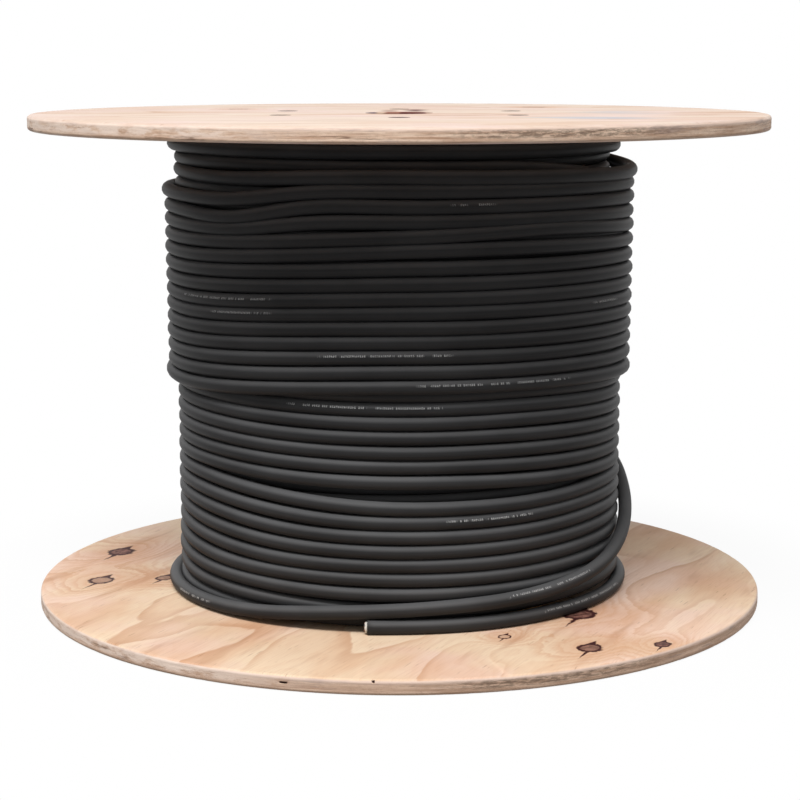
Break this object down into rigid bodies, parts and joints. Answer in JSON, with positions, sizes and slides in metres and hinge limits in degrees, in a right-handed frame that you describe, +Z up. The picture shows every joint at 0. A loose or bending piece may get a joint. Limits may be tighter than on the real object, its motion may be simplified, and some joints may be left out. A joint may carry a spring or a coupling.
{
  "type": "wooden cable drum",
  "caption": "Plywood cable drum standing on end: round flanges tied across a stave barrel with an arbor bore, part wound with black rubber cable whose free end lies on the lower flange.",
  "frame": {"origin": "middle of the bottom flange's underside, on the drum's axis, where the drum stands on the floor", "axes": "+Z up along the drum's axis and arbor bore; the free cable end is cut off at the front, -Y"},
  "size_m": [0.8999, 0.9, 0.6],
  "materials": {
    "plywood": "rotary-cut softwood plywood, unfinished, with knots and visible plies",
    "softwood": "planed softwood boards",
    "zinc_steel": "zinc plated",
    "cable_rubber": "matt black rubber sheath"
  },
  "bodies": {
    "root": {"bottom_core_disc": "plywood", "bottom_flange": "plywood", "bottom_nut_1": "zinc_steel", "bottom_nut_2": "zinc_steel", "bottom_nut_3": "zinc_steel", "bottom_nut_4": "zinc_steel", "bottom_nut_5": "zinc_steel", "bottom_nut_6": "zinc_steel", "bottom_washer_1": "zinc_steel", "bottom_washer_2": "zinc_steel", "bottom_washer_3": "zinc_steel", "bottom_washer_4": "zinc_steel", "bottom_washer_5": "zinc_steel", "bottom_washer_6": "zinc_steel", "cable_tail": "cable_rubber", "cable_winding": "cable_rubber", "stave_01": "softwood", "stave_02": "softwood", "stave_03": "softwood", "stave_04": "softwood", "stave_05": "softwood", "stave_06": "softwood", "stave_07": "softwood", "stave_08": "softwood", "stave_09": "softwood", "stave_10": "softwood", "stave_11": "softwood", "stave_12": "softwood", "stave_13": "softwood", "stave_14": "softwood", "stave_15": "softwood", "stave_16": "softwood", "stave_17": "softwood", "stave_18": "softwood", "stave_19": "softwood", "stave_20": "softwood", "tie_rod_1": "zinc_steel", "tie_rod_2": "zinc_steel", "tie_rod_3": "zinc_steel", "tie_rod_4": "zinc_steel", "tie_rod_5": "zinc_steel", "tie_rod_6": "zinc_steel", "top_core_disc": "plywood", "top_flange": "plywood", "top_nut_1": "zinc_steel", "top_nut_2": "zinc_steel", "top_nut_3": "zinc_steel", "top_nut_4": "zinc_steel", "top_nut_5": "zinc_steel", "top_nut_6": "zinc_steel", "top_washer_1": "zinc_steel", "top_washer_2": "zinc_steel", "top_washer_3": "zinc_steel", "top_washer_4": "zinc_steel", "top_washer_5": "zinc_steel", "top_washer_6": "zinc_steel"}
  },
  "joints": []
}
